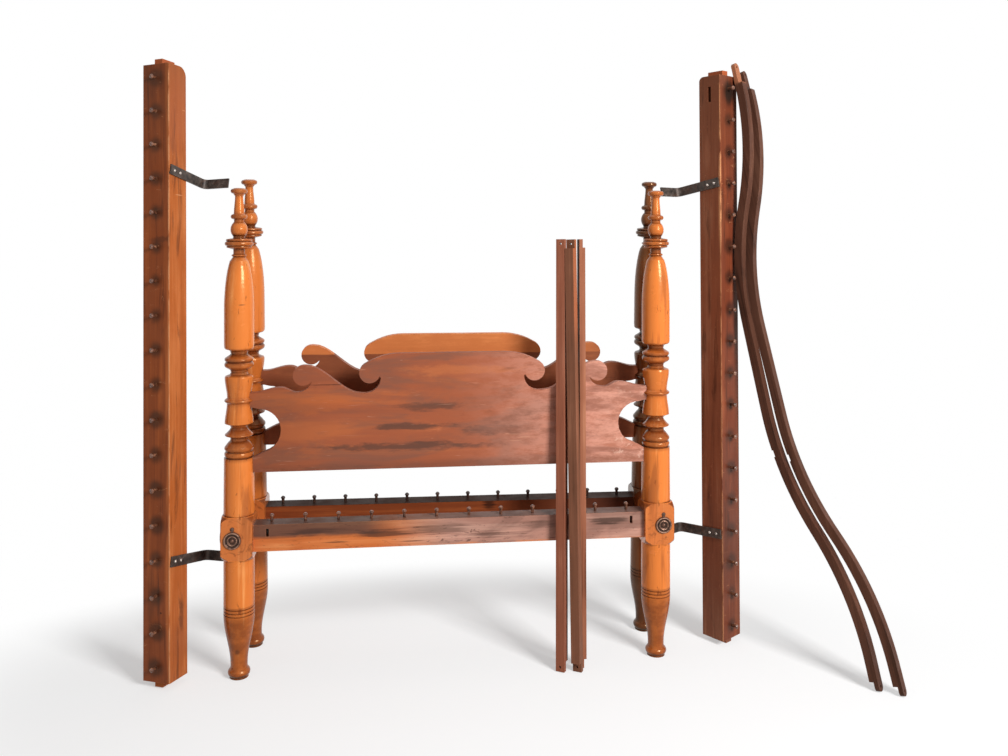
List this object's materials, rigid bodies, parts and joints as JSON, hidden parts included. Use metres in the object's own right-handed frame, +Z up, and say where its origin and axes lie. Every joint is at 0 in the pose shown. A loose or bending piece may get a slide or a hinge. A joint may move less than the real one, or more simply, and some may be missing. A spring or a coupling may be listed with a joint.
{
  "type": "rope bed",
  "caption": "Turned four-post rope bed, knocked down: scrolled end boards, pegged rails, bed bolts with swinging covers, iron hanger straps and an ogee canopy frame, all standing.",
  "frame": {"origin": "on the floor, on the axis of the left foot post", "axes": "+X along the foot end, to the right as seen from outside; +Y from the foot end to the head end; +Z up"},
  "size_m": [2.2374, 0.6053, 1.8993],
  "materials": {
    "bar_wood": "dull, weathered",
    "board_wood": "satin varnish over sawn boards",
    "bronze": "dark patina with worn rings",
    "canopy_wood": "dull, darkened",
    "iron": "dark, slightly rusted",
    "peg_wood": "worn satin",
    "post_wood": "glossy varnish over turned maple",
    "rail_wood": "worn satin varnish"
  },
  "bodies": {
    "foot_end": {"foot_post_left": "post_wood", "foot_post_right": "post_wood", "foot_board": "board_wood", "foot_rail": "rail_wood", "foot_rail_pegs": "peg_wood", "foot_bed_bolts": "iron", "foot_bolt_nuts": "iron", "foot_cover_nails": "iron"},
    "head_end": {"head_post_left": "post_wood", "head_post_right": "post_wood", "head_board": "board_wood", "head_rail": "rail_wood", "head_rail_pegs": "peg_wood", "head_bed_bolts": "iron", "head_bolt_nuts": "iron", "head_cover_nails": "iron"},
    "foot_left_front_cover": {"foot_left_front_cover": "bronze"},
    "foot_left_side_cover": {"foot_left_side_cover": "bronze"},
    "head_left_back_cover": {"head_left_back_cover": "bronze"},
    "head_left_side_cover": {"head_left_side_cover": "bronze"},
    "foot_right_front_cover": {"foot_right_front_cover": "bronze"},
    "foot_right_side_cover": {"foot_right_side_cover": "bronze"},
    "head_right_back_cover": {"head_right_back_cover": "bronze"},
    "head_right_side_cover": {"head_right_side_cover": "bronze"},
    "left_rail": {"left_side_rail": "rail_wood", "left_rail_pegs": "peg_wood", "left_strap_upper": "iron", "left_strap_lower": "iron", "left_strap_nails": "iron"},
    "right_rail": {"right_side_rail": "rail_wood", "right_rail_pegs": "peg_wood", "right_strap_upper": "iron", "right_strap_lower": "iron", "right_strap_nails": "iron"},
    "canopy_inner": {"canopy_rail_inner": "canopy_wood"},
    "canopy_outer": {"canopy_rail_outer": "canopy_wood"},
    "bar_left": {"canopy_bar_left": "bar_wood"},
    "bar_right": {"canopy_bar_right": "bar_wood"},
    "bar_middle": {"canopy_bar_middle": "bar_wood"}
  },
  "joints": [
    {"name": "head_end_slide", "type": "slide", "parent": "foot_end", "child": "head_end", "axis": [0, 1, 0], "range_m": [0, 0.4]},
    {"name": "foot_left_front_cover_swing", "type": "hinge", "parent": "foot_end", "child": "foot_left_front_cover", "pos_m": [-0.012, -0.0465, 0.458], "axis": [0, -1, 0], "range_deg": [-110, 110]},
    {"name": "foot_left_side_cover_swing", "type": "hinge", "parent": "foot_end", "child": "foot_left_side_cover", "pos_m": [-0.0465, 0, 0.458], "axis": [-1, 0, 0], "range_deg": [-110, 110]},
    {"name": "head_left_back_cover_swing", "type": "hinge", "parent": "head_end", "child": "head_left_back_cover", "pos_m": [-0.00156, 0.23611, 0.46144], "axis": [0.0209, 0.9982, 0.0558], "range_deg": [-110, 110]},
    {"name": "head_left_side_cover_swing", "type": "hinge", "parent": "head_end", "child": "head_left_side_cover", "pos_m": [-0.03703, 0.19041, 0.45885], "axis": [-0.9998, 0.0209, 0], "range_deg": [-110, 110]},
    {"name": "foot_right_front_cover_swing", "type": "hinge", "parent": "foot_end", "child": "foot_right_front_cover", "pos_m": [1.304, -0.0465, 0.458], "axis": [0, -1, 0], "range_deg": [-110, 110]},
    {"name": "foot_right_side_cover_swing", "type": "hinge", "parent": "foot_end", "child": "foot_right_side_cover", "pos_m": [1.3385, 0, 0.458], "axis": [1, 0, 0], "range_deg": [-110, 110]},
    {"name": "head_right_back_cover_swing", "type": "hinge", "parent": "head_end", "child": "head_right_back_cover", "pos_m": [1.31415, 0.20855, 0.46144], "axis": [0.0209, 0.9982, 0.0558], "range_deg": [-110, 110]},
    {"name": "head_right_side_cover_swing", "type": "hinge", "parent": "head_end", "child": "head_right_side_cover", "pos_m": [1.34767, 0.16141, 0.45885], "axis": [0.9998, -0.0209, 0], "range_deg": [-110, 110]},
    {"name": "left_rail_lift", "type": "slide", "parent": "foot_end", "child": "left_rail", "axis": [0, 0, 1], "range_m": [0, 0.3]},
    {"name": "right_rail_lift", "type": "slide", "parent": "foot_end", "child": "right_rail", "axis": [0, 0, 1], "range_m": [0, 0.3]},
    {"name": "canopy_inner_slide", "type": "slide", "parent": "right_rail", "child": "canopy_inner", "axis": [-0.4, -0.9165, 0], "range_m": [0, 0.3]},
    {"name": "canopy_outer_slide", "type": "slide", "parent": "canopy_inner", "child": "canopy_outer", "axis": [1, 0, 0], "range_m": [0, 0.3]},
    {"name": "bar_left_lift", "type": "slide", "parent": "foot_end", "child": "bar_left", "axis": [0.0017, 0.0507, 0.9987], "range_m": [0, 0.3]},
    {"name": "bar_right_lift", "type": "slide", "parent": "foot_end", "child": "bar_right", "axis": [0.0017, 0.0507, 0.9987], "range_m": [0, 0.3]},
    {"name": "bar_middle_lift", "type": "slide", "parent": "foot_end", "child": "bar_middle", "axis": [0.0045, 0.0387, 0.9992], "range_m": [0, 0.3]}
  ]
}
